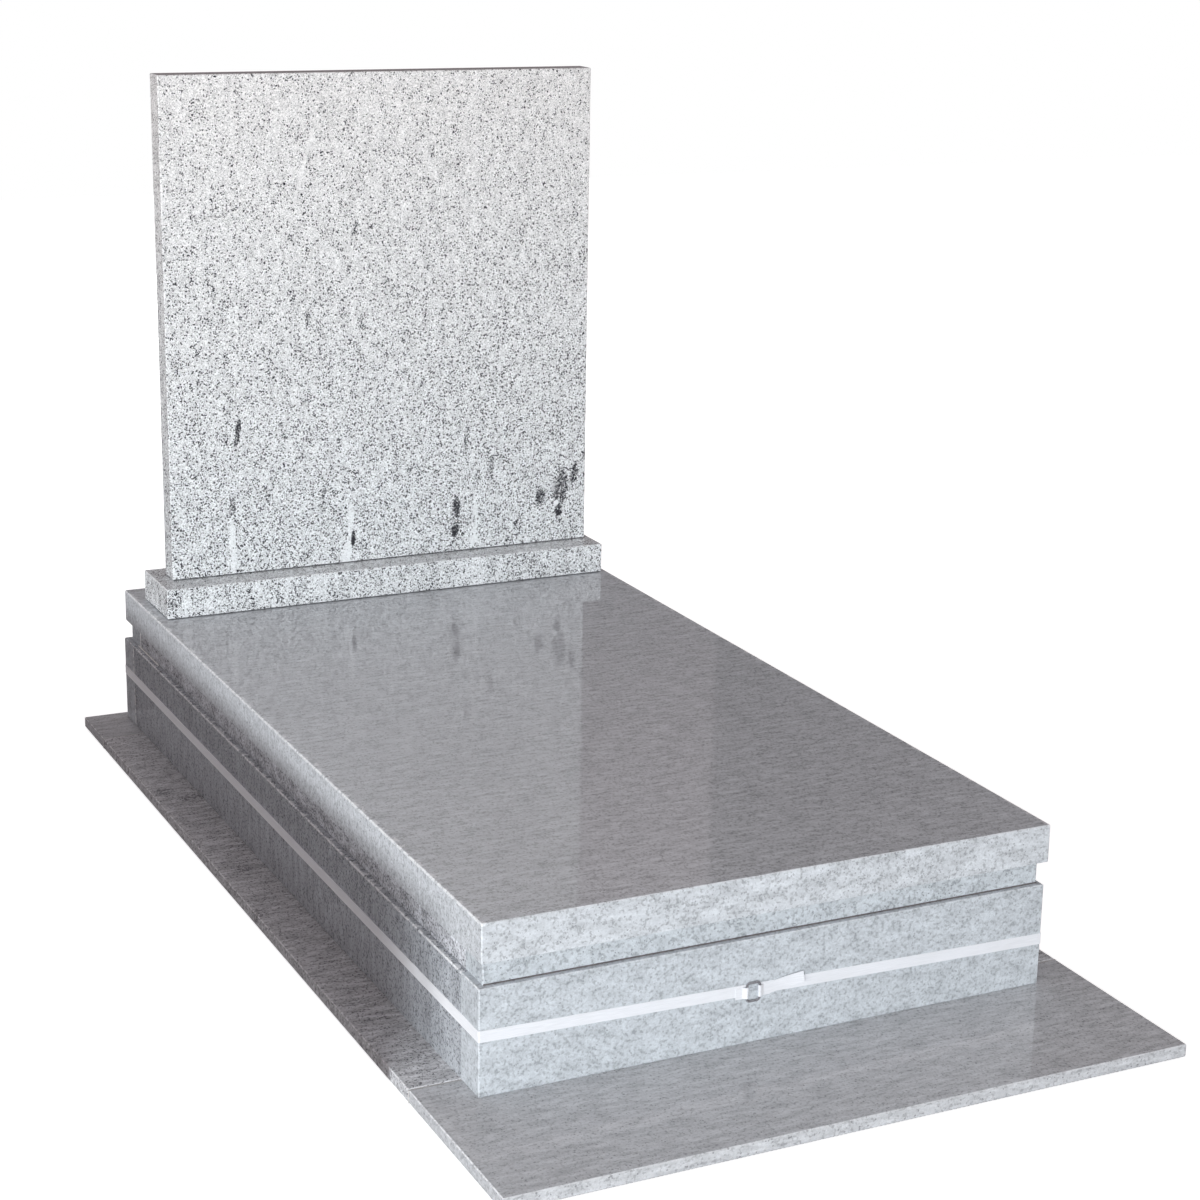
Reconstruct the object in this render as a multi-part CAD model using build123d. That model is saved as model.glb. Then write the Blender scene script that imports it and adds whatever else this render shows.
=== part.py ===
from build123d import *
import math
import os

# Grave monument of polished granite slabs, in millimetres.
# The frame has +Z up and +Y towards the headstone end. The origin is on the ground,
# at the middle of the plinth.

# Plinth: flat slabs laid round the foot of the kerb. The laps say how far the front and
# rear slabs reach in under the kerb, which sets where their joints with the side slabs are
plinth_width = 1087
plinth_thickness = 20
plinth_front_margin = 266
plinth_rear_margin = 28
plinth_front_lap = 62
plinth_rear_lap = 109
plinth_grout_gap = 3
plinth_grout_recess = 0.6

# Kerb: a box of boards set on edge, open at the bottom
kerb_width = 930
kerb_length = 1780
kerb_height = 163
kerb_board = 62
kerb_glue = 1
kerb_glue_inset = 0.3

# Spacer: a low frame of bars between the kerb and the ledger
spacer_width = 912.5
spacer_length = 1750
spacer_height = 31
spacer_bar = 60
spacer_shift = 1.75
spacer_glue = 0.8

# Ledger: the cover slab, set a little to the right of the kerb and back from its front
ledger_width = 935
ledger_length = 1787
ledger_thickness = 60
ledger_shift = 11
ledger_setback = 11

# Base of the headstone, across the rear of the ledger
base_width = 904
base_depth = 154
base_height = 57.5
base_shift = 14
base_rear_margin = 80

# Headstone: one upright slab
headstone_width = 863
headstone_thickness = 49
headstone_height = 943.5
headstone_shift = 21.5
headstone_front_margin = 57

# Dark setting beds under the base and the headstone
bed_thickness = 1.5
bed_recess = 3

# Broken edges of the slabs
arris = 1.5

# Packing strap round the kerb, tilted a little, with the height of its middle line
# at the middle of the kerb's front face
strap_width = 17.5
strap_thickness = 0.8
strap_height_front = 83.5
strap_fall_right = 1.1
strap_rise_rear = 0.2

# Wire buckle that joins the strap's ends, left of the middle of the front face
buckle_place = -37.5
buckle_drop = 3
buckle_wire = 3.4
buckle_pitch = 21.5
buckle_height = 31.5
buckle_bend = 5
fold_clearance = 0.15
fold_slope = 32
fold_foot = 11
fold_foot_bend = 1.5

# Free end of the strap beyond the buckle, turned up over the band
tail_length = 61
tail_turn = 10
tail_flat = 12
tail_lift = 4

# Heights of the bearing faces
kerb_bottom = plinth_thickness
kerb_top = kerb_bottom + kerb_height
spacer_top = kerb_top + spacer_height
ledger_top = spacer_top + ledger_thickness
base_bottom = ledger_top + bed_thickness
base_top = base_bottom + base_height
headstone_bottom = base_top + bed_thickness

# Lines across the length, from the front end to the rear end
plinth_length = plinth_front_margin + kerb_length + plinth_rear_margin
plinth_front = -plinth_length / 2
plinth_rear = plinth_length / 2
kerb_front = plinth_front + plinth_front_margin
kerb_rear = kerb_front + kerb_length
ledger_front = kerb_front + ledger_setback
ledger_rear = ledger_front + ledger_length
base_rear = ledger_rear - base_rear_margin
base_front = base_rear - base_depth
headstone_front = base_front + headstone_front_margin


def slab(x_low, x_high, y_low, y_high, z_low, z_high, edge=arris, sawn=()):
    """A straight slab between six planes. Its edges are broken by a small chamfer, apart
    from those round the faces that are named as sawn, which stay sharp for a tight joint."""
    size = (x_high - x_low, y_high - y_low, z_high - z_low)
    middle = ((x_low + x_high) / 2, (y_low + y_high) / 2, (z_low + z_high) / 2)
    block = Pos(*middle) * Box(*size)
    along_y = block.faces().sort_by(Axis.Y)
    along_z = block.faces().sort_by(Axis.Z)
    faces = {"front": along_y[0], "rear": along_y[-1], "bottom": along_z[0], "top": along_z[-1]}
    broken = block.edges()
    for name in sawn:
        broken = broken - faces[name].edges()
    return chamfer(broken, edge) if edge and broken else block


def centred_slab(width, shift, y_low, y_high, z_low, z_high, sawn=()):
    """A slab of a given width whose middle is shifted sideways from the kerb's middle."""
    return slab(shift - width / 2, shift + width / 2, y_low, y_high, z_low, z_high, sawn=sawn)


def frame_of_bars(width, shift, y_low, y_high, bar, z_low, z_high, glue, sawn=()):
    """Front and rear bars of full width, and side bars butted between them. The butted
    faces are sawn, and so are those that the frame shares with what lies on or under it."""
    side_low = y_low + bar + glue
    side_high = y_high - bar - glue
    x_low = shift - width / 2
    x_high = shift + width / 2
    ends = ("front", "rear")
    return {
        "front": slab(x_low, x_high, y_low, y_low + bar, z_low, z_high, sawn=("rear", *sawn)),
        "rear": slab(x_low, x_high, y_high - bar, y_high, z_low, z_high, sawn=("front", *sawn)),
        "left": slab(x_low, x_low + bar, side_low, side_high, z_low, z_high, sawn=(*ends, *sawn)),
        "right": slab(x_high - bar, x_high, side_low, side_high, z_low, z_high, sawn=(*ends, *sawn)),
    }


def joint_fillers(width, shift, y_low, y_high, bar, z_low, z_high, glue, inset):
    """Thin fillings in the four butt joints of a frame of bars, set in from the faces."""
    fillers = []
    for side in (-1, 1):
        x_outer = shift + side * (width / 2 - inset)
        x_inner = shift + side * (width / 2 - bar)
        for y_start in (y_low + bar, y_high - bar - glue):
            fillers.append(
                slab(min(x_outer, x_inner), max(x_outer, x_inner),
                     y_start, y_start + glue, z_low, z_high - inset, edge=0)
            )
    return fillers


def plinth():
    """Four flat slabs that reach in under the kerb, with grout lines beside the front and
    rear slabs. The side slabs stop at the inner faces of the kerb."""
    inner_x = kerb_width / 2 - kerb_board
    inner_front = kerb_front + plinth_front_lap
    inner_rear = kerb_rear - plinth_rear_lap
    half = plinth_width / 2
    side_low = inner_front + plinth_grout_gap
    side_high = inner_rear - plinth_grout_gap
    slabs = {
        "plinth_front": slab(-half, half, plinth_front, inner_front, 0, plinth_thickness),
        "plinth_rear": slab(-half, half, inner_rear, plinth_rear, 0, plinth_thickness),
        "plinth_left": slab(-half, -inner_x, side_low, side_high, 0, plinth_thickness),
        "plinth_right": slab(inner_x, half, side_low, side_high, 0, plinth_thickness),
    }
    grout = []
    for side in (-1, 1):
        x_ends = sorted((side * inner_x, side * half))
        for y_start in (inner_front, side_high):
            grout.append(
                slab(*x_ends, y_start, y_start + plinth_grout_gap,
                     0, plinth_thickness - plinth_grout_recess, edge=0)
            )
    slabs["plinth_grout"] = Compound(children=grout)
    return slabs


def kerb():
    """Four boards on edge, glued at butt joints that show on the long sides."""
    boards = frame_of_bars(kerb_width, 0, kerb_front, kerb_rear, kerb_board,
                           kerb_bottom, kerb_top, kerb_glue)
    pieces = {"kerb_" + name: board for name, board in boards.items()}
    pieces["kerb_glue_lines"] = Compound(
        children=joint_fillers(kerb_width, 0, kerb_front, kerb_rear, kerb_board,
                               kerb_bottom, kerb_top, kerb_glue, kerb_glue_inset)
    )
    return pieces


def spacer():
    """Low bars on the kerb, flush with the ledger in front and set in on the sides."""
    bars = frame_of_bars(spacer_width, spacer_shift, ledger_front,
                         ledger_front + spacer_length, spacer_bar,
                         kerb_top, spacer_top, spacer_glue, sawn=("top", "bottom"))
    return {"spacer_" + name: bar for name, bar in bars.items()}


def headstone_group():
    """The ledger, the base and the upright slab, each on a thin dark bed."""
    base_low = base_shift - base_width / 2
    base_high = base_shift + base_width / 2
    stone_low = headstone_shift - headstone_width / 2
    stone_high = headstone_shift + headstone_width / 2
    stone_rear = headstone_front + headstone_thickness
    return {
        "ledger": centred_slab(ledger_width, ledger_shift, ledger_front, ledger_rear,
                               spacer_top, ledger_top, sawn=("bottom",)),
        "base_bed": slab(base_low + bed_recess, base_high - bed_recess,
                         base_front + bed_recess, base_rear - bed_recess,
                         ledger_top, base_bottom, edge=0),
        "headstone_base": centred_slab(base_width, base_shift, base_front, base_rear,
                                       base_bottom, base_top),
        "headstone_bed": slab(stone_low + bed_recess, stone_high - bed_recess,
                              headstone_front + bed_recess, stone_rear - bed_recess,
                              base_top, headstone_bottom, edge=0),
        "headstone": centred_slab(headstone_width, headstone_shift,
                                  headstone_front, stone_rear,
                                  headstone_bottom, headstone_bottom + headstone_height),
    }


# Places on the strap. A bar of the buckle lies on the strap's first layer, and the end
# that is turned back over the bar lies on that layer as a second one
strap_outer = kerb_front - strap_thickness
second_layer = strap_outer - strap_thickness / 2
bar_line = strap_outer - fold_clearance - buckle_wire / 2
strap_level = kerb_bottom + strap_height_front
strap_slope = math.tan(math.radians(strap_fall_right))
buckle_level = strap_level - buckle_place * strap_slope - buckle_drop
bar_left = buckle_place - buckle_pitch / 2
bar_right = buckle_place + buckle_pitch / 2


def strap_band():
    """A flat band drawn tight round the four boards, on a slightly tilted plane. Its two
    ends stop under the bars of the buckle, where the folded ends carry on."""
    middle_y = (kerb_front + kerb_rear) / 2
    inner = RectangleRounded(kerb_width, kerb_length, arris)
    outer = RectangleRounded(kerb_width + 2 * strap_thickness,
                             kerb_length + 2 * strap_thickness, arris + strap_thickness)
    wall = Pos(0, middle_y, kerb_bottom) * extrude(outer - inner, kerb_height)
    fall = math.radians(strap_fall_right)
    rise = math.radians(strap_rise_rear)
    tilt = Plane(
        origin=(0, kerb_front, strap_level),
        x_dir=(math.cos(fall), 0, -math.sin(fall)),
        z_dir=(math.sin(fall), -math.sin(rise), math.cos(fall)),
    )
    layer = tilt * Box(2 * kerb_width, 3 * kerb_length, strap_width)
    between_bars = Pos(buckle_place, kerb_front, buckle_level) * Box(
        buckle_pitch, 4 * strap_thickness, 3 * strap_width
    )
    return (wall & layer) - between_bars


def strap_buckle():
    """One closed loop of round wire, bent to a rounded rectangle that lies on the band."""
    plane = Plane(origin=(buckle_place, bar_line, buckle_level), x_dir=(1, 0, 0), z_dir=(0, -1, 0))
    loop = RectangleRounded(buckle_pitch, buckle_height - buckle_wire, buckle_bend)
    path = (plane * loop).wire()
    start = path.location_at(0)
    section = Plane(origin=start.position, z_dir=path.tangent_at(0)) * Circle(buckle_wire / 2)
    return sweep(section, path=path)


def wrap_round_bar(bar_x, away):
    """The strap seen from above, as a centre line: it comes in under a bar of the buckle,
    turns back round its inner side, and comes down to lie on the band. Away from the
    buckle's middle is -1 on its left and 1 on its right."""
    bend = buckle_wire / 2 + fold_clearance + strap_thickness / 2
    slope = math.radians(fold_slope)
    off_x = bar_x + away * bend * math.sin(slope)
    off_y = bar_line - bend * math.cos(slope)
    down_x = off_x + away * (second_layer - off_y) / math.tan(slope)
    turn = ThreePointArc((bar_x, bar_line + bend), (bar_x - away * bend, bar_line), (off_x, off_y))
    lie = FilletPolyline(
        (off_x, off_y), (down_x, second_layer), (down_x + away * fold_foot, second_layer),
        radius=fold_foot_bend,
    )
    return turn + lie


def strap_from_line(line):
    """A length of strap on edge: a centre line seen from above, given its thickness and width."""
    flat = trace(line, line_width=strap_thickness)
    return Pos(0, 0, buckle_level - strap_width / 2) * extrude(flat, strap_width, dir=(0, 0, 1))


def strap_fold():
    """The strap's fixed end, turned back round the left bar."""
    return strap_from_line(wrap_round_bar(bar_left, -1))


def strap_tail():
    """The strap's free end, turned back round the right bar and lifted off the band."""
    fold = strap_from_line(wrap_round_bar(bar_right, 1))
    start_x = fold.bounding_box().max.X - fold_foot / 2
    curl = Line((start_x, second_layer), (start_x + tail_flat, second_layer))
    curl += Spline(
        (start_x + tail_flat, second_layer), (start_x + tail_length, second_layer - tail_lift),
        tangents=[(1, 0), (1, -2 * tail_lift / (tail_length - tail_flat))],
    )
    pivot = (start_x, second_layer, buckle_level)
    free_end = strap_from_line(curl).rotate(Axis(pivot, (0, 1, 0)), -tail_turn)
    return fold + free_end


def build_all():
    pieces = {}
    pieces.update(plinth())
    pieces.update(kerb())
    pieces.update(spacer())
    pieces.update(headstone_group())
    pieces["strap_band"] = strap_band()
    pieces["strap_buckle"] = strap_buckle()
    pieces["strap_fold"] = strap_fold()
    pieces["strap_tail"] = strap_tail()
    return pieces


os.makedirs("parts", exist_ok=True)
for node, piece in build_all().items():
    export_step(piece, f"parts/{node}.step")
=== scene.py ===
import bpy, math
from mathutils import Matrix, Vector


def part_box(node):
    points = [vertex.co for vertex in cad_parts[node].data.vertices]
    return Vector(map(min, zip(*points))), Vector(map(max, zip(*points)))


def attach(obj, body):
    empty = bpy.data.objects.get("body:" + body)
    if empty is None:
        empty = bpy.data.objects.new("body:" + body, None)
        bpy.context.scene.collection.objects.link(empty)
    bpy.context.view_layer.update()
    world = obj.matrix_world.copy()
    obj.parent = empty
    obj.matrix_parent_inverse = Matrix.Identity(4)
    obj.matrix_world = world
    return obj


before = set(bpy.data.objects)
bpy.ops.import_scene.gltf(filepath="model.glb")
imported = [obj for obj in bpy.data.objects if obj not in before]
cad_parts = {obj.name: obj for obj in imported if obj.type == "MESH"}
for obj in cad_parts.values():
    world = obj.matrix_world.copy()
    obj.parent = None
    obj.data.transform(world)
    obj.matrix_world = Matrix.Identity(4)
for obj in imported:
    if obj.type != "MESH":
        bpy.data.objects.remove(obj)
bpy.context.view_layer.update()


# Plinth: four flat slabs of polished light grey granite laid round the foot of the kerb.
# The stone is pale feldspar with black mica flecks that lie in bands, sawn from the block
# with the bands along the width. The slabs meet in a thin pale line of grout.
polish = 0.055
stone_index = 1.55
crystal_scale = 440.0
mica = (0.035, 0.035, 0.042)
noise_span = (0.3, 0.7)
# Pale chamfers and nicks on the edges: partly real wear, partly painted highlight where the edges
# catch the light, more on edges that face sideways.
long_edge_wear_and_light, short_edge_wear_and_light = 1.0, 0.3
worn_and_highlight_white = (0.88, 0.90, 0.92)
worn_and_highlight_share = 0.75
worn_bump = 0.0006
chip_and_glint_scale = 120.0
bruise_and_glint_scale = 70.0
bruise_and_glint_reach = 0.011
mark_depth = 0.018
mark_grain = 170.0


def deselect():
    for obj in bpy.context.selected_objects:
        obj.select_set(False)


def new_material(name):
    made = bpy.data.materials.new(name)
    made.use_nodes = True
    return made, made.node_tree, made.node_tree.nodes["Principled BSDF"]


def node(tree, kind, values=None, links=None, **settings):
    made = tree.nodes.new(kind)
    for name, value in settings.items():
        setattr(made, name, value)
    for name, value in (values or {}).items():
        made.inputs[name].default_value = value
    for name, source in (links or {}).items():
        tree.links.new(source, made.inputs[name])
    return made


def math_node(tree, operation, first, second=0.0, clamp=False):
    made = node(tree, "ShaderNodeMath", operation=operation, use_clamp=clamp)
    for socket, value in zip(made.inputs, (first, second)):
        if isinstance(value, (int, float)):
            socket.default_value = value
        else:
            tree.links.new(value, socket)
    return made.outputs[0]


def blended(tree, factor, first, second, blend="MIX"):
    made = node(tree, "ShaderNodeMix", data_type="RGBA", blend_type=blend)
    for name, value in (("Factor", factor), ("A", first), ("B", second)):
        socket = [s for s in made.inputs if s.name == name and s.enabled][0]
        if isinstance(value, (int, float)):
            socket.default_value = value
        elif isinstance(value, tuple):
            socket.default_value = (*value, 1)
        else:
            tree.links.new(value, socket)
    return [s for s in made.outputs if s.enabled][0]


def ranged(tree, value, from_low, from_high, to_low, to_high):
    made = node(tree, "ShaderNodeMapRange", {
        "From Min": from_low, "From Max": from_high, "To Min": to_low, "To Max": to_high,
    }, {"Value": value})
    return made.outputs["Result"]


def noise(tree, point, scale, detail=3.0, rough=0.5):
    values = {"Scale": scale, "Detail": detail, "Roughness": rough}
    return node(tree, "ShaderNodeTexNoise", values, {"Vector": point}).outputs["Fac"]


def edge_wear_and_highlight_mask(tree):
    """How pale the small chamfers between the flat faces of a slab are painted, partly real wear
    and partly painted highlight, and 0 on the faces. Chamfers that face sideways get more than
    those that face front or back. The fourth powers of a normal add up to 1 on a face and to less
    on a chamfer."""
    normal = node(tree, "ShaderNodeTexCoord").outputs["Normal"]
    part = node(tree, "ShaderNodeSeparateXYZ", links={0: normal})
    along = math_node(tree, "ABSOLUTE", part.outputs[1])
    square = node(tree, "ShaderNodeVectorMath", operation="MULTIPLY")
    tree.links.new(normal, square.inputs[0])
    tree.links.new(normal, square.inputs[1])
    fourth = node(tree, "ShaderNodeVectorMath", operation="DOT_PRODUCT")
    tree.links.new(square.outputs[0], fourth.inputs[0])
    tree.links.new(square.outputs[0], fourth.inputs[1])
    chamfer = math_node(tree, "LESS_THAN", fourth.outputs["Value"], 0.9)
    wear_and_light = ranged(tree, along, 0.2, 0.6, long_edge_wear_and_light, short_edge_wear_and_light)
    return math_node(tree, "MULTIPLY", chamfer, wear_and_light)


def mark_mask(tree, point, place, reach, lean):
    """1 in the middle of a leaning egg-shaped patch of the stone, 0 outside it."""
    local = node(tree, "ShaderNodeMapping", {
        "Location": place, "Rotation": (0, math.radians(lean), 0), "Scale": reach,
    }, {"Vector": point}, vector_type="TEXTURE")
    away = node(tree, "ShaderNodeVectorMath", operation="LENGTH")
    tree.links.new(local.outputs[0], away.inputs[0])
    return ranged(tree, away.outputs["Value"], 1.1, 0.6, 0.0, 1.0)


def granite(name, tone, bands, grain, fleck, contrast, dots, mottle, shift,
            blackness=1.0, soft=0.06, drift=None, bruised_and_lit=None, marks=()):
    """Polished granite. Tone is the pale crystals' colour, and bands the pattern scale along
    each axis. Grain, fleck, contrast and soft are the scale, share, depth and blur of the
    grey pepper, and dots and blackness the share and depth of the larger black flecks.
    Mottle is how much the bands differ in tone, and shift moves the whole pattern.
    Drift gives two heights, how much denser the pepper is at the lower, and the tone there,
    a cooler tint painted in for the cooler light that falls low down.
    The next argument gives the places of two long edges that get pale nicks, partly real
    knocks and partly painted highlight, and the height above which they lie. Marks are
    patches, each with its place, half width, half height, lean in degrees and weight.
    Above 0 it holds more mica, and below 0 it is bleached."""
    made, tree, shader = new_material(name)
    here = node(tree, "ShaderNodeTexCoord").outputs["Object"]
    place = node(tree, "ShaderNodeSeparateXYZ", links={0: here})
    point = node(tree, "ShaderNodeMapping", {"Location": shift}, {"Vector": here}).outputs[0]
    crystals = node(tree, "ShaderNodeTexVoronoi", {"Scale": crystal_scale}, {"Vector": point})
    crystal = node(tree, "ShaderNodeSeparateColor", links={0: crystals.outputs["Color"]})
    spread = node(tree, "ShaderNodeMapping", {"Scale": bands}, {"Vector": point}).outputs[0]
    band = noise(tree, spread, 1.0, 3.0, 0.62)

    def by_band(low, high):
        return ranged(tree, band, *noise_span, low, high)

    def by_height(low, high):
        return ranged(tree, place.outputs[2], drift[0], drift[1], low, high)

    amount = math_node(tree, "ADD", noise(tree, point, grain, 1.0, 0.6), by_band(0.04, -0.04))
    if drift is not None:
        amount = math_node(tree, "ADD", amount, by_height(drift[2], -drift[2]))
    pale, weights = None, None
    for x, y, z, half_width, half_height, lean, weight in marks:
        reach = (half_width, mark_depth, half_height)
        mask = mark_mask(tree, here, (x, y, z), reach, lean)
        patch = math_node(tree, "MULTIPLY", mask, weight)
        weights = patch if weights is None else math_node(tree, "ADD", weights, patch)
        if weight < 0:
            lift = math_node(tree, "MULTIPLY", mask, min(1.0, -3.0 * weight))
            pale = lift if pale is None else math_node(tree, "MAXIMUM", pale, lift)
    if weights is not None:
        ragged = ranged(tree, noise(tree, point, mark_grain, 2.0, 0.6), 0.38, 0.62, 0.3, 1.5)
        weights = math_node(tree, "MULTIPLY", weights, ragged)
        amount = math_node(tree, "ADD", amount, weights)
    edge = 1.0 - fleck
    pepper = ranged(tree, amount, edge, edge + soft, 0.0, contrast)
    depth = ranged(tree, crystal.outputs[2], 0.0, 1.0, 0.6, 1.0)
    pepper = math_node(tree, "MULTIPLY", pepper, depth, clamp=True)
    black = math_node(tree, "ADD", crystal.outputs[1], by_band(0.6 * dots, -0.6 * dots))
    if drift is not None:
        black = math_node(tree, "ADD", black, by_height(0.5 * dots, -0.5 * dots))
    if weights is not None:
        black = math_node(tree, "ADD", black, math_node(tree, "MULTIPLY", weights, 1.3))
    black = ranged(tree, black, 1.0 - dots, 1.01 - dots, 0.0, blackness)
    dark = math_node(tree, "MAXIMUM", pepper, black)

    dimmest, brightest = 1 - 0.28 * contrast, 1 + 0.10 * contrast
    speck = ranged(tree, crystal.outputs[0], 0.0, 1.0, dimmest, brightest)
    light = math_node(tree, "MULTIPLY", speck, by_band(1 - mottle, 1 + mottle))
    # Towards the lower height the tone turns to drift's cooler one, painted light of the cooler
    # light low down.
    if drift is not None:
        tone = blended(tree, by_height(0.0, 1.0), drift[3], tone)
    colour = blended(tree, 1.0, tone, light, "MULTIPLY")
    if pale is not None:
        colour = blended(tree, pale, colour, tone)
    colour = blended(tree, dark, colour, mica)

    # Pale nicks on two long upper edges: partly real knocks, partly painted highlight where these
    # edges catch the light.
    if bruised_and_lit is not None:
        left, right, lowest = bruised_and_lit
        from_left = math_node(tree, "SUBTRACT", place.outputs[0], left)
        from_right = math_node(tree, "SUBTRACT", place.outputs[0], right)
        from_edge = math_node(tree, "MINIMUM", math_node(tree, "ABSOLUTE", from_left),
                              math_node(tree, "ABSOLUTE", from_right))
        knock_and_glint_noise = noise(tree, here, bruise_and_glint_scale, 3.0, 0.7)
        struck_and_lit = math_node(tree, "LESS_THAN", from_edge,
                           ranged(tree, knock_and_glint_noise, 0.46, 0.66, 0.0, bruise_and_glint_reach))
        high = math_node(tree, "GREATER_THAN", place.outputs[2], lowest)
        nick_and_highlight = math_node(tree, "MULTIPLY", struck_and_lit, high)
        colour = blended(tree, math_node(tree, "MULTIPLY", nick_and_highlight, worn_and_highlight_share), colour, worn_and_highlight_white)
    # The chamfers are painted pale: partly real wear, partly painted highlight.
    chips_and_glints = ranged(tree, noise(tree, here, chip_and_glint_scale, 3.0, 0.65), 0.42, 0.58, 0.1, 1.0)
    worn_and_lit = math_node(tree, "MULTIPLY", edge_wear_and_highlight_mask(tree), chips_and_glints)
    colour = blended(tree, math_node(tree, "MULTIPLY", worn_and_lit, worn_and_highlight_share), colour, worn_and_highlight_white)
    tree.links.new(colour, shader.inputs["Base Color"])
    gloss = ranged(tree, crystal.outputs[2], 0.0, 1.0, 0.8 * polish, 1.2 * polish)
    rough = math_node(tree, "MAXIMUM", gloss, math_node(tree, "MULTIPLY", worn_and_lit, 0.5))
    tree.links.new(rough, shader.inputs["Roughness"])
    shader.inputs["IOR"].default_value = stone_index
    bump = node(tree, "ShaderNodeBump", {"Strength": 0.12, "Distance": worn_bump},
                {"Height": math_node(tree, "MULTIPLY", worn_and_lit, 2.0)})
    tree.links.new(bump.outputs[0], shader.inputs["Normal"])
    return made


def dress(name, material):
    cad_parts[name].material_slots[0].material = material


plinth_tone = (0.59, 0.605, 0.625)
plinth_side_tone = (0.67, 0.68, 0.70)
plinth_bands = (26.0, 110.0, 110.0)
plinth_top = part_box("plinth_left")[1].z
plinth_marks = [
    (-0.521, 0.569, plinth_top, 0.022, 0.02, 0, 0.16),
    (-0.484, 0.520, plinth_top, 0.026, 0.02, 0, 0.16),
    (-0.546, -0.030, plinth_top, 0.030, 0.02, 0, 0.16),
    (-0.500, 0.160, plinth_top, 0.018, 0.02, 0, 0.14),
]
plinth_granite = granite("plinth_granite", plinth_tone, plinth_bands, 200.0, 0.46, 0.35,
                         dots=0.03, mottle=0.18, shift=(3, 1, 0), blackness=0.5, soft=0.12)
side_granite = granite("plinth_side_granite", plinth_side_tone, plinth_bands, 200.0, 0.46, 0.6,
                       dots=0.07, mottle=0.3, shift=(8, 1, 0), blackness=0.75, soft=0.12,
                       marks=plinth_marks)
for name in ("plinth_front", "plinth_rear"):
    dress(name, plinth_granite)
for name in ("plinth_left", "plinth_right"):
    dress(name, side_granite)


def gritty(name, low, high, scale, rough):
    """A matt filling whose colour runs between two tones in fine grains."""
    made, tree, shader = new_material(name)
    here = node(tree, "ShaderNodeTexCoord").outputs["Object"]
    grain = ranged(tree, noise(tree, here, scale, 4.0, 0.7), *noise_span, 0.0, 1.0)
    tree.links.new(blended(tree, grain, low, high), shader.inputs["Base Color"])
    shader.inputs["Roughness"].default_value = rough
    bump = node(tree, "ShaderNodeBump", {"Strength": 0.3, "Distance": 0.0004}, {"Height": grain})
    tree.links.new(bump.outputs[0], shader.inputs["Normal"])
    return made


dress("plinth_grout", gritty("grout", (0.42, 0.41, 0.40), (0.66, 0.65, 0.64), 500.0, 0.85))


# Kerb: four boards of the same granite on edge, glued at butt joints that show on the long
# sides. Their bands stand upright. The side boards are given a darker tone, painted shade of
# their shaded sides, and pale nicks on their upper edges, partly real knocks and partly painted
# highlight. The glue is clear with the stone in front, and has dried white and patchy at the rear.
kerb_tone = (0.585, 0.625, 0.66)
kerb_bands = (34.0, 40.0, 60.0)
# The side boards' darker tone is painted shade.
kerb_side_shaded_tone = (0.475, 0.505, 0.54)
kerb_side_bands = (90.0, 70.0, 22.0)
clear_glue = (0.50, 0.52, 0.54)
white_glue = (0.95, 0.95, 0.93)
glue_dries_from, glue_dries_to = 0.3, 0.4


def long_edges(left, right, bruise_height):
    """The left and the right long upper edge, and the height down to which they get pale nicks,
    partly real knocks and partly painted highlight.
    """
    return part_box(left)[0].x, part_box(right)[1].x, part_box(left)[1].z - bruise_height


kerb_front_granite = granite("kerb_front_granite", kerb_tone, kerb_bands, 170.0, 0.51, 0.42,
                             dots=0.03, mottle=0.13, shift=(0, 2, 0), blackness=0.35, soft=0.2)
kerb_side_shaded_granite = granite("kerb_side_shaded_granite", kerb_side_shaded_tone, kerb_side_bands, 200.0, 0.48,
                            0.62, dots=0.06, mottle=0.18, shift=(0, 6, 0), blackness=0.7,
                            soft=0.12, bruised_and_lit=long_edges("kerb_left", "kerb_right", 0.003))
for name in ("kerb_front", "kerb_rear"):
    dress(name, kerb_front_granite)
for name in ("kerb_left", "kerb_right"):
    dress(name, kerb_side_shaded_granite)
glue, tree, shader = new_material("kerb_glue")
here = node(tree, "ShaderNodeTexCoord").outputs["Object"]
place = node(tree, "ShaderNodeSeparateXYZ", links={0: here})
patches = ranged(tree, noise(tree, here, 75.0, 2.0), 0.42, 0.5, 0.0, 1.0)
rearward = ranged(tree, place.outputs[1], glue_dries_from, glue_dries_to, 0.0, 1.0)
dried = math_node(tree, "MULTIPLY", rearward, patches)
tree.links.new(blended(tree, dried, clear_glue, white_glue), shader.inputs["Base Color"])
shader.inputs["Roughness"].default_value = 0.5
dress("kerb_glue_lines", glue)


# Strap: a white woven polyester packing strap drawn tight round the kerb. Its ends turn
# back round the bars of one buckle of galvanised wire, and the free end stands off.
strand_grey, strand_white = (0.76, 0.78, 0.82), (0.86, 0.88, 0.92)
strap_soil = (0.68, 0.69, 0.70)
fibre_scale = (30.0, 30.0, 1500.0)
wire_dark, wire_pale = (0.26, 0.26, 0.28), (0.42, 0.42, 0.44)
strap_material, tree, shader = new_material("woven_strap")
here = node(tree, "ShaderNodeTexCoord").outputs["Object"]
along = node(tree, "ShaderNodeMapping", {"Scale": fibre_scale}, {"Vector": here}).outputs[0]
fibres = noise(tree, along, 1.0, 2.0, 0.6)
strand = ranged(tree, fibres, 0.35, 0.65, 0.0, 1.0)
strands = blended(tree, strand, strand_grey, strand_white)
soiled = ranged(tree, noise(tree, here, 9.0, 3.0, 0.6), 0.45, 0.8, 0.0, 0.35)
tree.links.new(blended(tree, soiled, strands, strap_soil), shader.inputs["Base Color"])
shader.inputs["Roughness"].default_value = 0.42
shader.inputs["Sheen Weight"].default_value = 1.0
shader.inputs["Sheen Roughness"].default_value = 0.5
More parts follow.
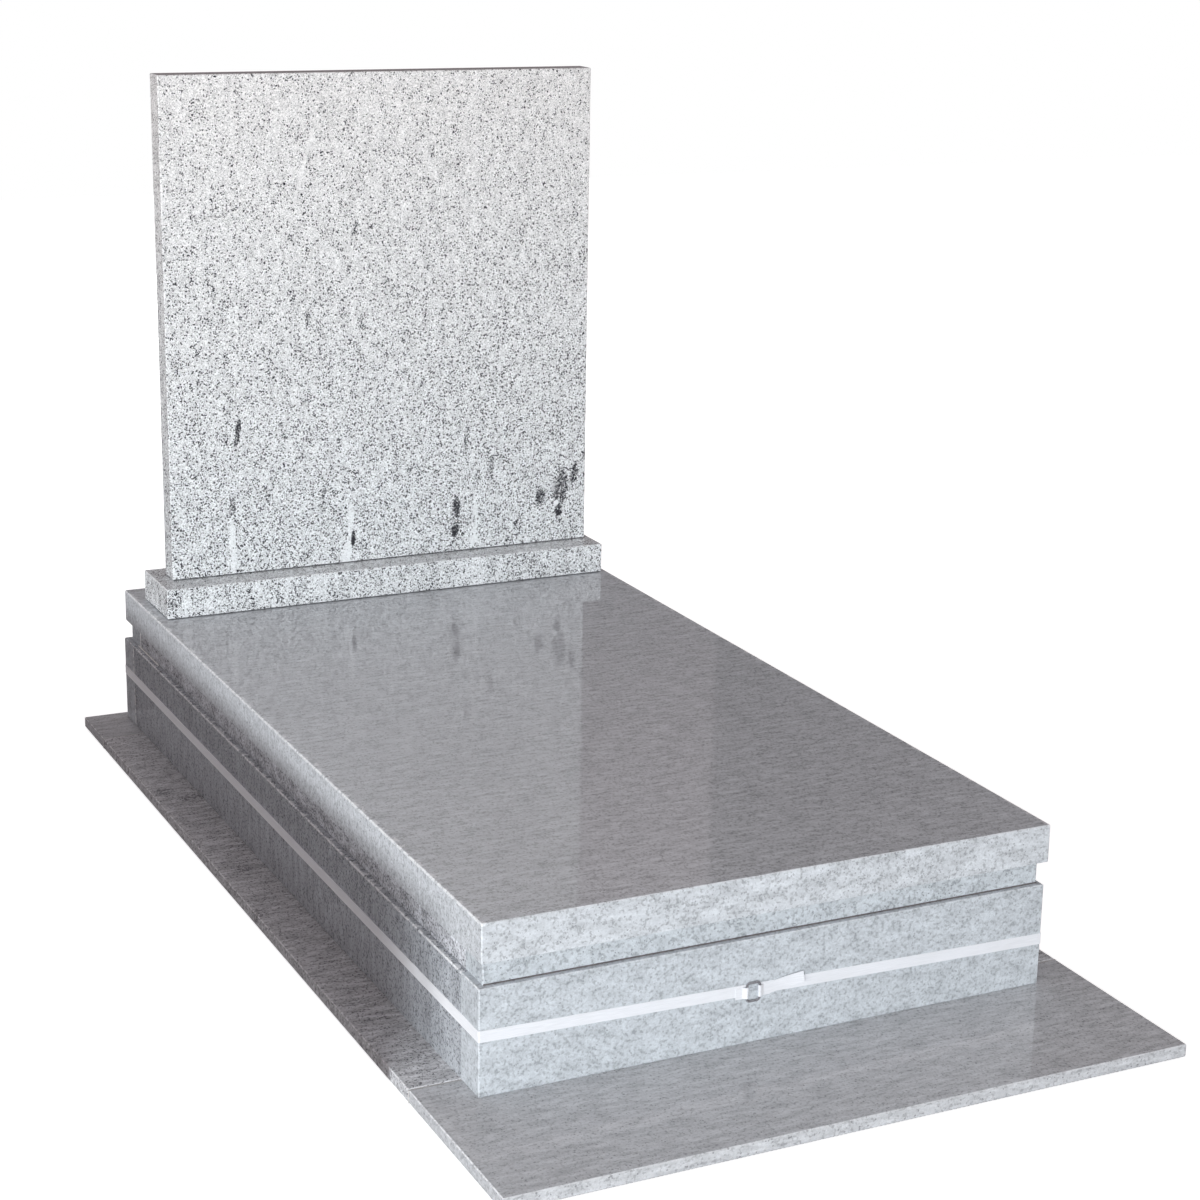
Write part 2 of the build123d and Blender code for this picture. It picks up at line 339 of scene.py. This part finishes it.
bump = node(tree, "ShaderNodeBump", {"Strength": 0.35, "Distance": 0.0003}, {"Height": fibres})
tree.links.new(bump.outputs[0], shader.inputs["Normal"])
for name in ("strap_band", "strap_fold", "strap_tail"):
    dress(name, strap_material)
wire, tree, shader = new_material("galvanised_wire")
here = node(tree, "ShaderNodeTexCoord").outputs["Object"]
spangle = ranged(tree, noise(tree, here, 700.0, 3.0, 0.6), 0.35, 0.65, 0.0, 1.0)
tree.links.new(blended(tree, spangle, wire_dark, wire_pale), shader.inputs["Base Color"])
tree.links.new(ranged(tree, spangle, 0.0, 1.0, 0.5, 0.35), shader.inputs["Roughness"])
shader.inputs["Metallic"].default_value = 0.6
dress("strap_buckle", wire)


# Spacer: low bars of granite on the kerb, set in at the sides and nearly flush in front, that
# lift the ledger off it. A dark bead is drawn along the foot in front, partly dark sealant in the
# joint and partly painted shade there. At the rear left glue has run out of the joints and along
# the foot, and dried white.
spacer_tone = (0.57, 0.615, 0.65)
spacer_side_tone = (0.64, 0.66, 0.70)
spacer_bands = (34.0, 40.0, 60.0)
spacer_granite = granite("spacer_granite", spacer_tone, spacer_bands, 190.0, 0.50, 0.4,
                         dots=0.04, mottle=0.12, shift=(0, 2, 5), blackness=0.5, soft=0.14)
spacer_side_granite = granite("spacer_side_granite", spacer_side_tone, spacer_bands, 200.0,
                              0.52, 0.6, dots=0.07, mottle=0.3, shift=(0, 2, 7),
                              blackness=0.8, soft=0.12)
for name in ("spacer_front", "spacer_rear"):
    dress(name, spacer_granite)
for name in ("spacer_left", "spacer_right"):
    dress(name, spacer_side_granite)
spacer_low, spacer_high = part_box("spacer_front")
bead = 0.0016
bead_sink = 0.0003
bead_round = 0.0006


def bar_between(low, high, round_off):
    """A straight bar from its low corner to its high one, with its long edges rounded off."""
    deselect()
    middle = [(a + b) / 2 for a, b in zip(low, high)]
    bpy.ops.mesh.primitive_cube_add(size=1, location=middle)
    made = bpy.context.object
    made.scale = [b - a for a, b in zip(low, high)]
    bpy.ops.object.transform_apply(location=True, rotation=True, scale=True)
    rounding = made.modifiers.new("rounding", "BEVEL")
    rounding.width = round_off
    rounding.segments = 2
    bpy.ops.object.modifier_apply(modifier="rounding")
    return made


def joined(parts, name):
    deselect()
    for part in parts:
        part.select_set(True)
    bpy.context.view_layer.objects.active = parts[0]
    bpy.ops.object.join()
    parts[0].name = name
    return parts[0]


def fixed(piece, material):
    piece.data.materials.clear()
    piece.data.materials.append(material)
    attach(piece, "root")


# The dark bead at the spacer's foot is partly sealant and partly painted shade of the joint.
sealant_and_shade = gritty("dark_sealant_and_shade", (0.08, 0.075, 0.08), (0.2, 0.18, 0.18), 220.0, 0.7)
sealant_and_shade_line = bar_between(
    (spacer_low.x, spacer_low.y - bead, spacer_low.z - bead_sink),
    (spacer_high.x, spacer_low.y + bead_sink, spacer_low.z + bead), bead_round)
sealant_and_shade_line.name = "spacer_sealant_and_shade"
fixed(sealant_and_shade_line, sealant_and_shade)

run_start, run_length, run_radius = 0.804, 0.140, 0.0017
run_out, run_up = 0.0012, 0.0008
run_sides, run_rings = 10, 16
swell_ends, swell_mean, swell_swing = 0.35, 0.85, 0.35
ring_reach = 0.001
run_place = (spacer_low.x - run_out, run_start + run_length / 2, spacer_low.z + run_up)
deselect()
bpy.ops.mesh.primitive_cylinder_add(vertices=run_sides, radius=run_radius, depth=run_length,
                                    location=run_place, rotation=(math.pi / 2, 0, 0))
glue_run = bpy.context.object
bpy.ops.object.transform_apply(location=True, rotation=True, scale=True)
bpy.ops.object.mode_set(mode="EDIT")
bpy.ops.mesh.select_all(action="DESELECT")
bpy.ops.object.mode_set(mode="OBJECT")
for edge in glue_run.data.edges:
    ends = [glue_run.data.vertices[v].co.y for v in edge.vertices]
    edge.select = abs(ends[0] - ends[1]) > run_length / 2
bpy.ops.object.mode_set(mode="EDIT")
bpy.ops.mesh.subdivide(number_cuts=run_rings)
for ring in range(run_rings + 2):
    bpy.ops.mesh.select_all(action="DESELECT")
    bpy.ops.object.mode_set(mode="OBJECT")
    level = run_start + run_length * ring / (run_rings + 1)
    for vertex in glue_run.data.vertices:
        vertex.select = abs(vertex.co.y - level) < ring_reach
    swell = swell_mean + swell_swing * math.sin(2.3 * ring) * math.cos(0.9 * ring)
    if ring in (0, run_rings + 1):
        swell = swell_ends
    bpy.ops.object.mode_set(mode="EDIT")
    bpy.ops.transform.resize(value=(swell, 1, swell))
bpy.ops.object.mode_set(mode="OBJECT")
bpy.ops.object.shade_smooth()

spacer_joint = (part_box("spacer_left")[1].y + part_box("spacer_rear")[0].y) / 2
kerb_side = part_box("kerb_left")[0].x
kerb_joint = (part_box("kerb_left")[1].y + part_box("kerb_rear")[0].y) / 2
dash_heights = ((0.024, 0.041), (0.046, 0.054), (0.062, 0.083), (0.089, 0.096),
                (0.126, 0.142), (0.147, 0.153), (0.160, 0.176))
strip_round = 0.0004


def glue_strip(face, joint, low, high, proud, sunk, half_width):
    """An upright strip of glue on a left face, along the joint between two stones."""
    return bar_between((face - proud, joint - half_width, low),
                       (face + sunk, joint + half_width, high), strip_round)


strips = [glue_strip(spacer_low.x, spacer_joint, spacer_low.z, spacer_high.z - 0.001,
                     proud=0.0006, sunk=0.0004, half_width=0.0012)]
for low, high in dash_heights:
    strips.append(glue_strip(kerb_side, kerb_joint, low, high,
                             proud=0.0005, sunk=0.0005, half_width=0.0011))
dried_glue = gritty("dried_glue", (0.78, 0.78, 0.77), (0.92, 0.92, 0.91), 260.0, 0.55)
fixed(joined([glue_run, *strips], "dried_glue_runs"), dried_glue)


# Ledger: the polished cover slab. The bands lie along its width, so the top shows short
# streaks across it, and the long edges carry a pale broken line, partly real wear and partly
# painted highlight.
ledger_tone = (0.63, 0.66, 0.69)
ledger_bands = (26.0, 110.0, 70.0)
ledger_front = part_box("ledger")[0].y
ledger_granite = granite("ledger_granite", ledger_tone, ledger_bands, 210.0, 0.47, 0.38,
                         dots=0.035, mottle=0.16, shift=(1, 5, 0), blackness=0.45, soft=0.12,
                         bruised_and_lit=long_edges("ledger", "ledger", 0.004),
                         marks=[(-0.170, ledger_front, 0.250, 0.009, 0.004, -20, 0.2)])
dress("ledger", ledger_granite)


# Headstone base: a block across the rear of the ledger, sawn from the same block as the
# headstone, with crisp black flecks. Its whole tone is the cool tint painted on the headstone's
# foot, painted light of the cooler light low down, and its long upper edges get pale nicks,
# partly real knocks and partly painted highlight. It and the headstone sit on near-black
# setting beds, partly dark bedding and partly painted shade in their recessed joints.
stone_tone = (0.945, 0.935, 0.925)
# The cool low tone is painted light, a tint of the cooler light low down.
stone_low_painted_light_tone = (0.93, 0.965, 0.985)
stone_bands = (60.0, 60.0, 26.0)
base_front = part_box("headstone_base")[0].y
base_granite = granite("base_granite", stone_low_painted_light_tone, stone_bands, 460.0, 0.42, 1.1,
                       dots=0.12, mottle=0.07, shift=(1, 9, 0),
                       bruised_and_lit=long_edges("headstone_base", "headstone_base", 0.003),
                       marks=[(-0.431, base_front, 0.300, 0.012, 0.020, 0, 0.1)])
dress("headstone_base", base_granite)
# Near-black setting beds: partly dark bedding, partly painted shade in the recessed joints.
bed_and_shade = gritty("setting_bed_and_shade", (0.02, 0.02, 0.022), (0.07, 0.07, 0.075), 300.0, 0.75)
dress("base_bed", bed_and_shade)
dress("headstone_bed", bed_and_shade)


# Headstone: one upright slab, polished on its faces and edges. Near its foot are a few
# black clusters of mica, upright bleached streaks, and one long faint pale vein. Towards its
# foot the pepper grows denser and the tone turns cooler, a painted tint of the cooler light low
# down.
headstone_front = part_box("headstone")[0].y
mica_clusters = (
    (-0.2745, 0.622, 0.006, 0.017, 10, 0.36), (-0.278, 0.596, 0.005, 0.014, 14, 0.32),
    (-0.047, 0.381, 0.005, 0.016, 4, 0.42),
    (0.171, 0.424, 0.008, 0.020, 0, 0.22), (0.168, 0.378, 0.009, 0.015, 12, 0.26),
    (0.170, 0.400, 0.014, 0.045, 0, 0.09),
    (0.354, 0.430, 0.013, 0.022, 8, 0.15), (0.400, 0.445, 0.017, 0.045, 8, 0.17),
    (0.429, 0.472, 0.009, 0.026, 16, 0.20), (0.394, 0.398, 0.010, 0.014, 0, 0.29),
    (0.452, 0.515, 0.008, 0.012, 20, 0.14),
    (0.247, 0.500, 0.005, 0.030, 2, 0.12), (0.193, 0.567, 0.005, 0.022, 14, 0.12),
    (-0.289, 0.469, 0.009, 0.020, 0, 0.12), (-0.106, 0.478, 0.004, 0.013, 8, 0.17),
    (0.315, 0.330, 0.003, 0.010, 0, 0.29), (0.300, 0.380, 0.004, 0.010, 35, 0.17),
    (-0.034, 0.990, 0.005, 0.020, 10, 0.09), (-0.049, 0.912, 0.005, 0.018, 10, 0.09),
    (-0.133, 0.825, 0.005, 0.020, 8, 0.09), (-0.316, 0.872, 0.005, 0.018, 4, 0.09),
)
bleached_places = (
    (0.389, 0.412, 0.006, 0.007, 0, -0.32),
    (-0.051, 0.420, 0.007, 0.038, 4, -0.14), (-0.060, 0.352, 0.010, 0.030, 6, -0.18),
    (-0.291, 0.387, 0.007, 0.062, 0, -0.14), (0.211, 0.396, 0.007, 0.056, 0, -0.11),
    (0.208, 0.352, 0.010, 0.012, 0, -0.16), (-0.135, 1.113, 0.004, 0.095, 16, -0.09),
)
headstone_marks = [(x, headstone_front, *rest) for x, *rest in mica_clusters + bleached_places]
headstone_granite = granite("headstone_granite", stone_tone, stone_bands, 460.0, 0.42, 1.1,
                            dots=0.11, mottle=0.06, shift=(4, 9, 0),
                            drift=(0.35, 1.25, 0.01, stone_low_painted_light_tone), marks=headstone_marks)
dress("headstone", headstone_granite)


# Floor: plain and pale, with the object's own soft shadow. It is white where the camera or
# a polished face sees it, and whiter still further out, so that it has no horizon.
floor_half = 9.0
floor_drop = 0.002
floor_grey = (0.8, 0.8, 0.8)
floor_glow_near = 0.73
floor_glow_far = 1.0
glow_near_reach = 1.2
glow_far_reach = 3.2


def seen_directly(tree):
    """1 for rays of the camera, and for those in polished or clear things."""
    path = node(tree, "ShaderNodeLightPath")
    seen = math_node(tree, "ADD", path.outputs["Is Camera Ray"], path.outputs["Is Glossy Ray"])
    return math_node(tree, "ADD", seen, path.outputs["Is Transmission Ray"], clamp=True)


deselect()
bpy.ops.mesh.primitive_plane_add(size=2 * floor_half, location=(0, 0, -floor_drop))
floor = bpy.context.object
floor.name = "floor"
pale_floor, tree, shader = new_material("pale_floor")
shader.inputs["Base Color"].default_value = (*floor_grey, 1)
shader.inputs["Roughness"].default_value = 0.9
shader.inputs["Specular IOR Level"].default_value = 0.0
here = node(tree, "ShaderNodeTexCoord").outputs["Object"]
away = node(tree, "ShaderNodeVectorMath", operation="LENGTH")
tree.links.new(here, away.inputs[0])
strength = ranged(tree, away.outputs["Value"], glow_near_reach, glow_far_reach,
                  floor_glow_near, floor_glow_far)
glow = node(tree, "ShaderNodeEmission", links={
    "Strength": math_node(tree, "MULTIPLY", strength, seen_directly(tree)),
})
total = node(tree, "ShaderNodeAddShader", links={0: shader.outputs[0], 1: glow.outputs[0]})
tree.links.new(total.outputs[0], tree.nodes["Material Output"].inputs["Surface"])
floor.data.materials.append(pale_floor)


# Reflection cards: a dim room that only polished faces show, brighter towards its ceiling,
# with a darker stretch of wall on the right.
card_reach = 7.0
card_top = 5.0
card_colour = (1.0, 0.88, 0.92)
dark_from = 30.7
dark_to = 80.0
card_low = 2.2
card_high = 3.4
wall_low = 0.17
wall_high = 0.42
dark_share = 0.3
floor_card_glow = 0.1


def glossy_only(obj):
    obj.visible_camera = False
    obj.visible_diffuse = False
    obj.visible_transmission = False
    obj.visible_shadow = False
    obj.visible_volume_scatter = False


deselect()
bpy.ops.mesh.primitive_cylinder_add(vertices=96, radius=card_reach, depth=card_top,
                                    end_fill_type="NOTHING", location=(0, 0, card_top / 2))
wall_card = bpy.context.object
wall_card.name = "wall_card"
bpy.ops.object.transform_apply(location=True)
wall_paint, tree, shader = new_material("wall_card_paint")
here = node(tree, "ShaderNodeTexCoord").outputs["Object"]
place = node(tree, "ShaderNodeSeparateXYZ", links={0: here})
turn = math_node(tree, "ARCTAN2", place.outputs[0], place.outputs[1])
dim = math_node(tree, "MULTIPLY", math_node(tree, "GREATER_THAN", turn, math.radians(dark_from)),
                math_node(tree, "LESS_THAN", turn, math.radians(dark_to)))
by_height = ranged(tree, place.outputs[2], card_low, card_high, wall_low, wall_high)
by_turn = ranged(tree, dim, 0.0, 1.0, 1.0, dark_share)
level = math_node(tree, "MULTIPLY", by_height, by_turn)
glow = node(tree, "ShaderNodeEmission", {"Color": (*card_colour, 1)}, {"Strength": level})
tree.links.new(glow.outputs[0], tree.nodes["Material Output"].inputs["Surface"])
wall_card.data.materials.append(wall_paint)
deselect()
bpy.ops.mesh.primitive_plane_add(size=2 * card_reach, location=(0, 0, -floor_drop / 2))
floor_card = bpy.context.object
floor_card.name = "floor_card"
floor_paint, tree, shader = new_material("floor_card_paint")
floor_shine = {"Color": (*card_colour, 1), "Strength": floor_card_glow}
glow = node(tree, "ShaderNodeEmission", floor_shine)
tree.links.new(glow.outputs[0], tree.nodes["Material Output"].inputs["Surface"])
floor_card.data.materials.append(floor_paint)
for card in (wall_card, floor_card):
    glossy_only(card)


# Flag: a low black cloth on the floor along the plinth, out of the camera's sight. It keeps
# the side light off the kerb and the plinth, and ends short of the front corner.
flag_gap = 0.004
flag_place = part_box("plinth_left")[0].x - flag_gap
flag_front = -0.64
flag_rear = 1.15
flag_height = 0.248
deselect()
bpy.ops.mesh.primitive_plane_add(size=1, location=(0, 0, 0))
flag = bpy.context.object
flag.name = "flag"
flag.scale = (flag_height, flag_rear - flag_front, 1)
flag.rotation_euler = (0, math.pi / 2, 0)
flag.location = (flag_place, (flag_front + flag_rear) / 2, flag_height / 2)
bpy.ops.object.transform_apply(location=True, rotation=True, scale=True)
flag.data.materials.append(gritty("flag_cloth", (0.01, 0.01, 0.01), (0.03, 0.03, 0.03), 200.0, 0.9))
flag.visible_camera = False
flag.visible_diffuse = False
flag.visible_glossy = False


# World: soft even light with a faint warm tint, and plain white where the camera or a
# polished face looks past the object.
ambient = 0.285
sky_colour = (1.0, 0.88, 0.90)
white = (1.0, 1.0, 1.0)
world = bpy.data.worlds.new("studio")
bpy.context.scene.world = world
world.use_nodes = True
tree = world.node_tree
sky = tree.nodes["Background"]
direct = seen_directly(tree)
tree.links.new(blended(tree, direct, sky_colour, white), sky.inputs["Color"])
tree.links.new(ranged(tree, direct, 0.0, 1.0, ambient, 1.0), sky.inputs["Strength"])


# Lamps: soft boxes in a circle round the object, strongest at the camera's side, and low,
# so that the upright faces are bright and the tops are grey. Polished faces don't show them.
lamp_reach = 6.5
lamp_size = 2.2
lamp_rise = 6.0
lamp_aim = Vector((0, 0, 0.4))


def soft_box(name, turn, power, colour):
    data = bpy.data.lights.new(name, "AREA")
    data.shape = "SQUARE"
    data.size = lamp_size
    data.energy = power
    data.color = colour
    lamp = bpy.data.objects.new(name, data)
    bpy.context.scene.collection.objects.link(lamp)
    across, up = math.radians(turn), math.radians(lamp_rise)
    out = Vector((-math.sin(across) * math.cos(up), -math.cos(across) * math.cos(up), math.sin(up)))
    lamp.location = lamp_aim + lamp_reach * out
    lamp.rotation_euler = out.to_track_quat("Z", "Y").to_euler()
    lamp.visible_glossy = False


for name, turn, power, colour in (
    ("right_box", -30, 42, (0.95, 0.985, 0.98)),
    ("near_left_box", 30, 250, (0.93, 0.975, 1.0)),
    ("left_box", 60, 106, (0.95, 0.985, 1.0)),
    ("side_box", 85, 88, (0.98, 0.985, 0.99)),
    ("far_side_box", -115, 105, white),
    ("rear_box", 180, 115, white),
):
    soft_box(name, turn, power, colour)


# Camera: at the photograph's viewing angle, from the foot end and a little to the left, at
# the eye height of a standing person.
view_place = (-1.7115, -3.7117, 1.6597)
view_turn = 26.786
view_dip = 15.915
view_roll = 1.212
view_lens, view_sensor = 76.5, 36
view_shift = (-0.0362, -0.0067)
camera_data = bpy.data.cameras.new("camera")
camera_data.sensor_width = view_sensor
camera_data.lens = view_lens
camera_data.shift_x, camera_data.shift_y = view_shift
camera = bpy.data.objects.new("camera", camera_data)
bpy.context.scene.collection.objects.link(camera)
camera.matrix_world = (
    Matrix.Translation(view_place)
    @ Matrix.Rotation(math.radians(-view_turn), 4, "Z")
    @ Matrix.Rotation(math.radians(90 - view_dip), 4, "X")
    @ Matrix.Rotation(math.radians(view_roll), 4, "Z")
)
bpy.context.scene.camera = camera
bpy.context.scene.view_settings.view_transform = "Standard"
